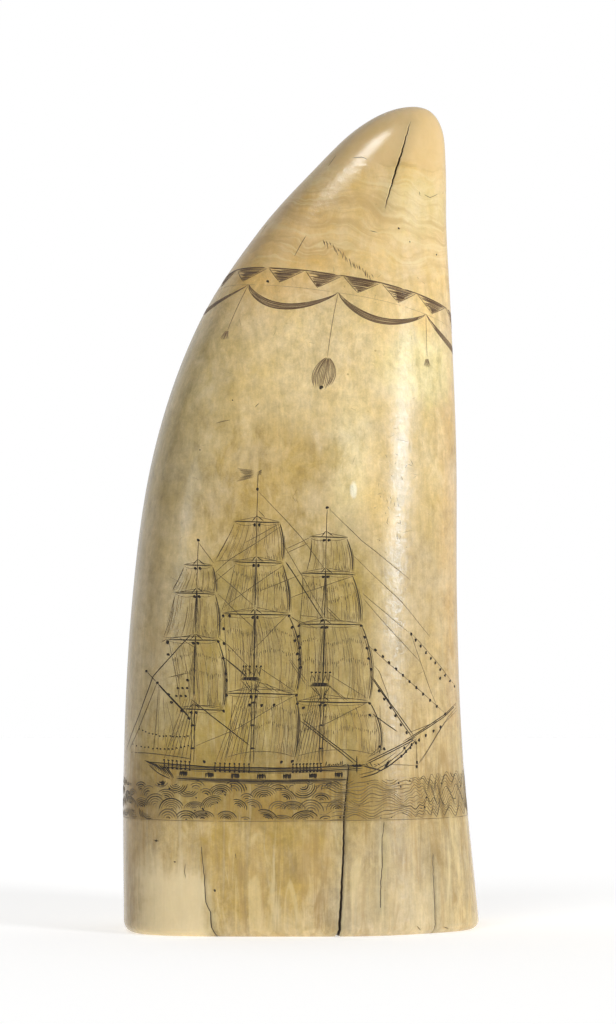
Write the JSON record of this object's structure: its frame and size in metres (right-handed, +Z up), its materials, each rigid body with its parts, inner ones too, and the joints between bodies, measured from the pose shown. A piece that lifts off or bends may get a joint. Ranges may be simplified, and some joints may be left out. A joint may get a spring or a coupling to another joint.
{
  "type": "scrimshaw whale tooth",
  "caption": "Upright whale tooth on its flat cut root, with a cone-shaped pulp cavity below and an engraved sailing ship, sea band and festoon border outside.",
  "frame": {"origin": "under the middle of the tooth, on the plane of the root face that it stands on", "axes": "+Z up towards the tip, +X across the broad side towards the side the tip leans to, -Y out of the engraved face"},
  "size_m": [0.0734, 0.0504, 0.17],
  "materials": {
    "tooth_ivory": "polished ivory with a honey patina",
    "engraving_pigment": "matt soot-brown pigment rubbed into engraved lines"
  },
  "bodies": {
    "root": {"tooth": "tooth_ivory"}
  },
  "joints": []
}
